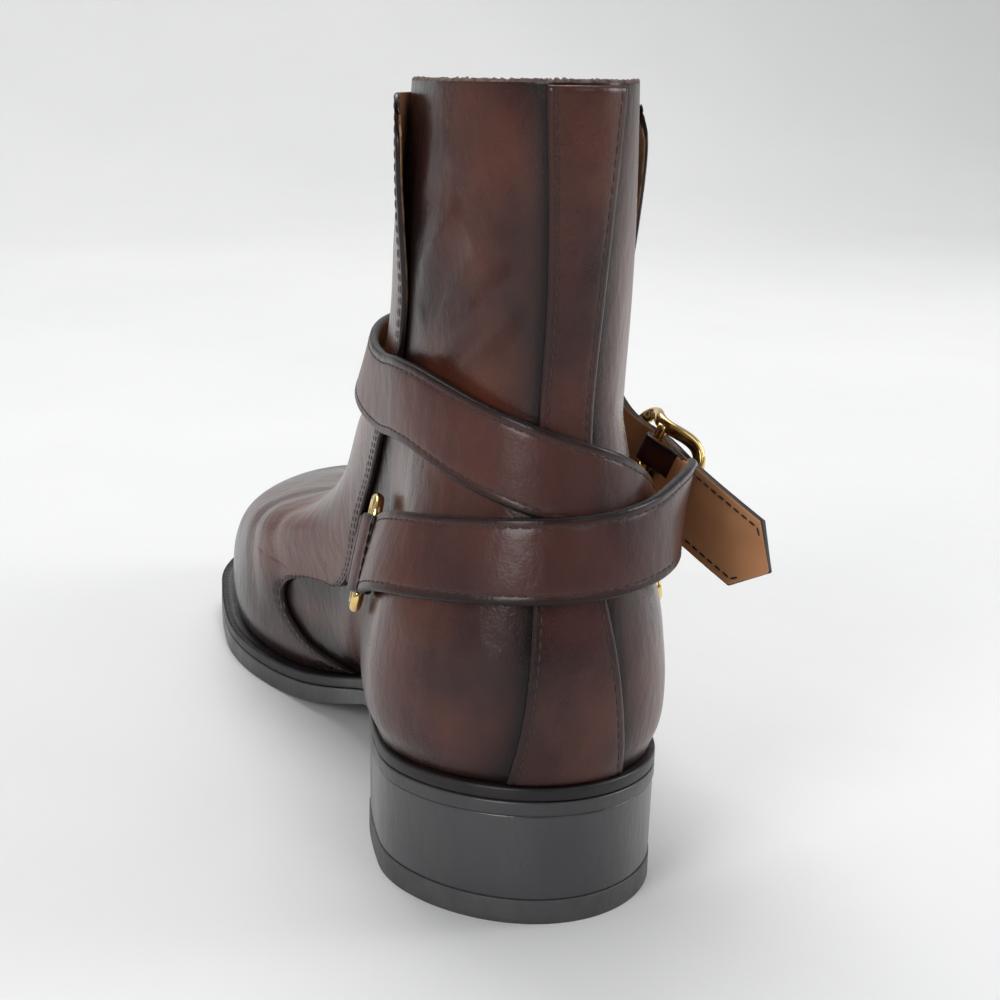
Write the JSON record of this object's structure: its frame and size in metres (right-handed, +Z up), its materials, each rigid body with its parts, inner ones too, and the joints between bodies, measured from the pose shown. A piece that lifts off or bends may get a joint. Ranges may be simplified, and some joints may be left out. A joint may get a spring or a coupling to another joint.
{
  "type": "jodhpur boot",
  "caption": "Right ankle boot of dark leather with a front flap and a wrap-around strap that closes in a brass buckle.",
  "frame": {"origin": "middle of the flat face under the heel, on the floor", "axes": "+Y along the foot from heel to toe, +X to the outer side of the foot, +Z up the shaft"},
  "size_m": [0.1156, 0.3085, 0.198],
  "materials": {
    "upper_leather": "polished, with dark burnish along the seams",
    "strap_leather": "polished, with dark painted edges",
    "sole_leather": "satin dark edge",
    "welt_leather": "waxed, with a knurled top",
    "heel_leather": "satin grey edge dressing",
    "heel_rubber": "matt",
    "lining_leather": "undyed, matt",
    "brass": "polished"
  },
  "bodies": {
    "root": {"outsole": "sole_leather", "welt": "welt_leather", "heel_rand": "welt_leather", "heel_stack": "heel_leather", "heel_top_lift": "heel_rubber", "insole": "lining_leather", "upper": "upper_leather", "vamp_and_flap": "upper_leather", "back_strip": "upper_leather", "ear_medial": "upper_leather", "ear_lateral": "upper_leather", "ring_medial": "brass", "ring_lateral": "brass", "strap": "strap_leather", "wrap_strap": "strap_leather", "buckle_frame": "brass", "buckle_prong": "brass"}
  },
  "joints": []
}
